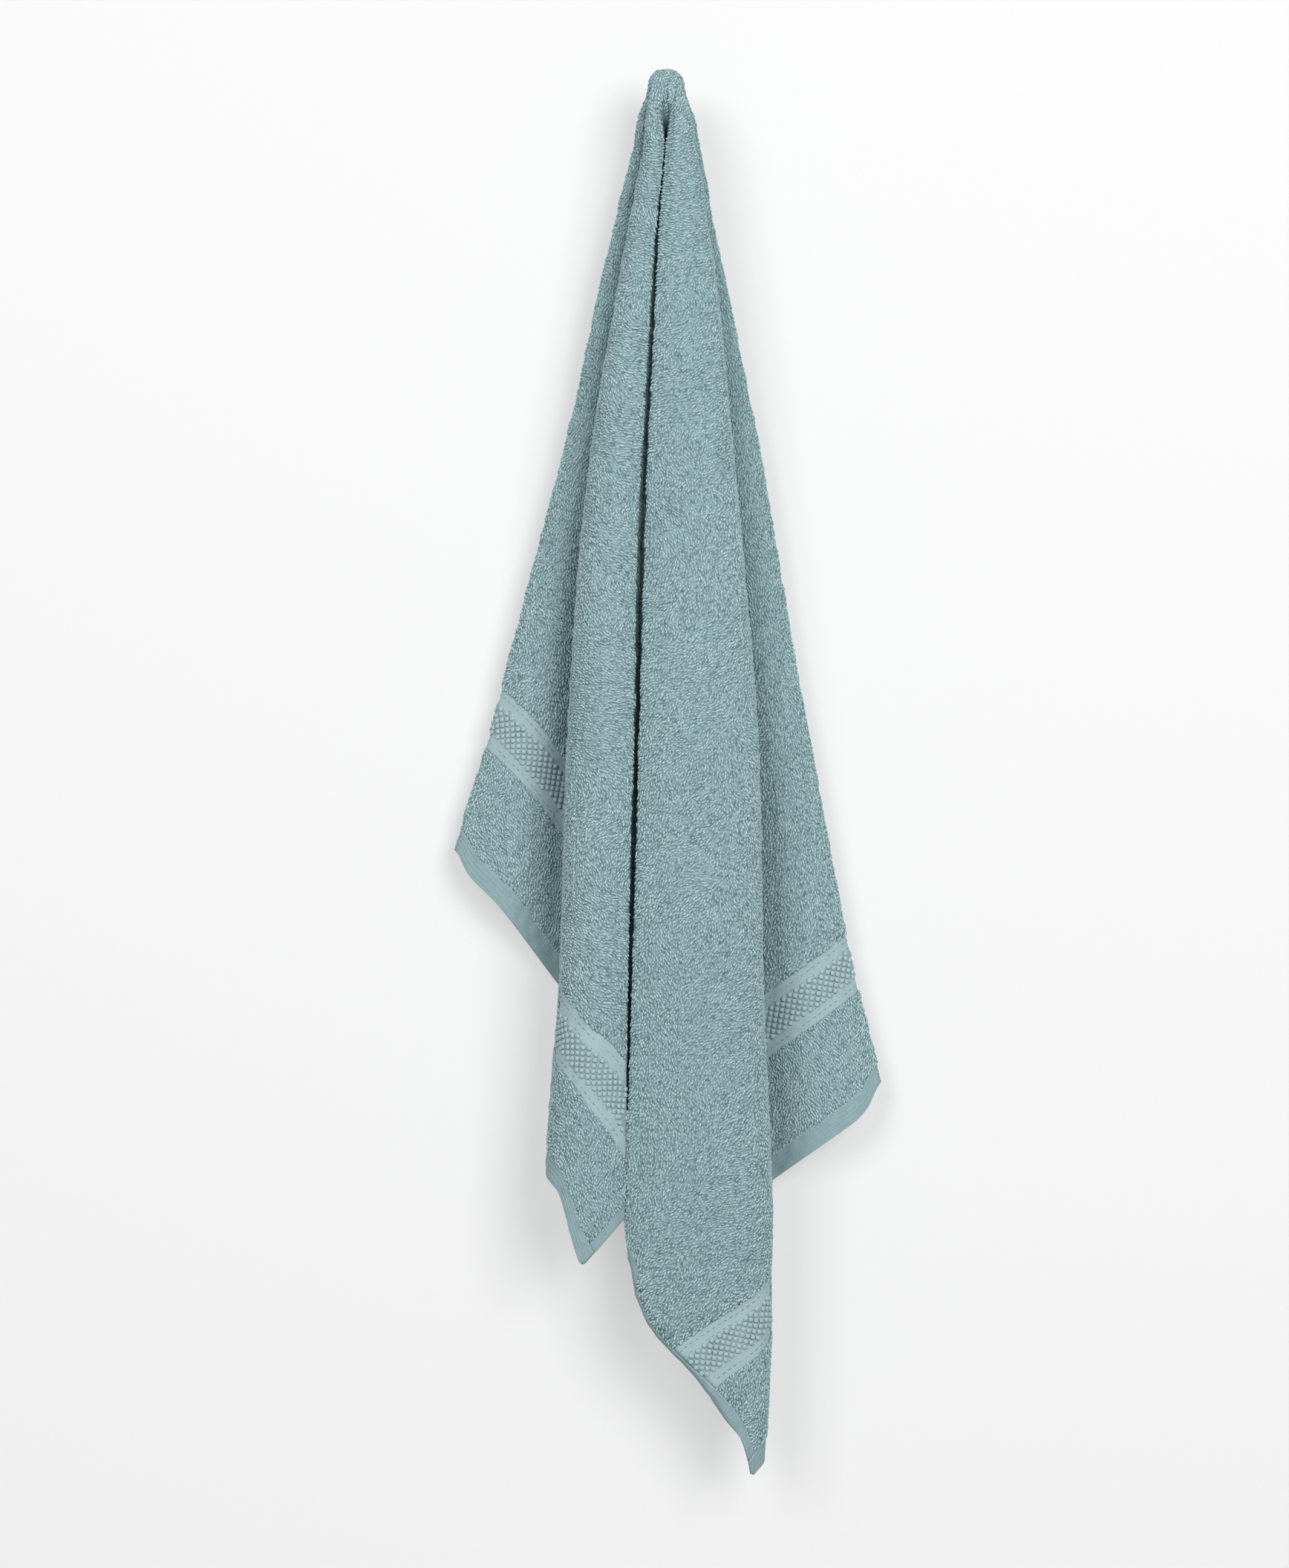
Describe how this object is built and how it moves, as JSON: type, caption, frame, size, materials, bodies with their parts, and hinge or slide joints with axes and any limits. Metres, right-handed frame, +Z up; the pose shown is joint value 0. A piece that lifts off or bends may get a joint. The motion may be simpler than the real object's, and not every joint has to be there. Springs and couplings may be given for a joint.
{
  "type": "hanging bath towel",
  "caption": "Cotton terry bath towel with woven end bands and stitched hems, hung in deep folds from one point near the middle of a long side",
  "frame": {"origin": "the point on top of the peak by which the towel hangs, where its hook bears from below", "axes": "+Z up; the face seen from the room looks along -Y, and +Y points to the wall behind; +X is to the right seen from the room"},
  "size_m": [0.328, 0.0812, 1.0476],
  "materials": {
    "terry": "teal-grey cotton terry loops on both faces, matt",
    "woven_band": "flat woven cotton border with a beaded centre, slight sheen",
    "hem": "turned and ribbed flat cotton hem",
    "thread": "sewing thread of the same teal"
  },
  "bodies": {
    "root": {"terry_field": "terry", "end_terry_left": "terry", "end_terry_right": "terry", "woven_band_left": "woven_band", "woven_band_right": "woven_band", "end_hem_left": "hem", "end_hem_right": "hem", "side_hem_front": "hem", "side_hem_back": "hem", "end_hem_thread_left": "thread", "end_hem_thread_right": "thread", "side_hem_thread_front": "thread", "side_hem_thread_back": "thread"}
  },
  "joints": []
}
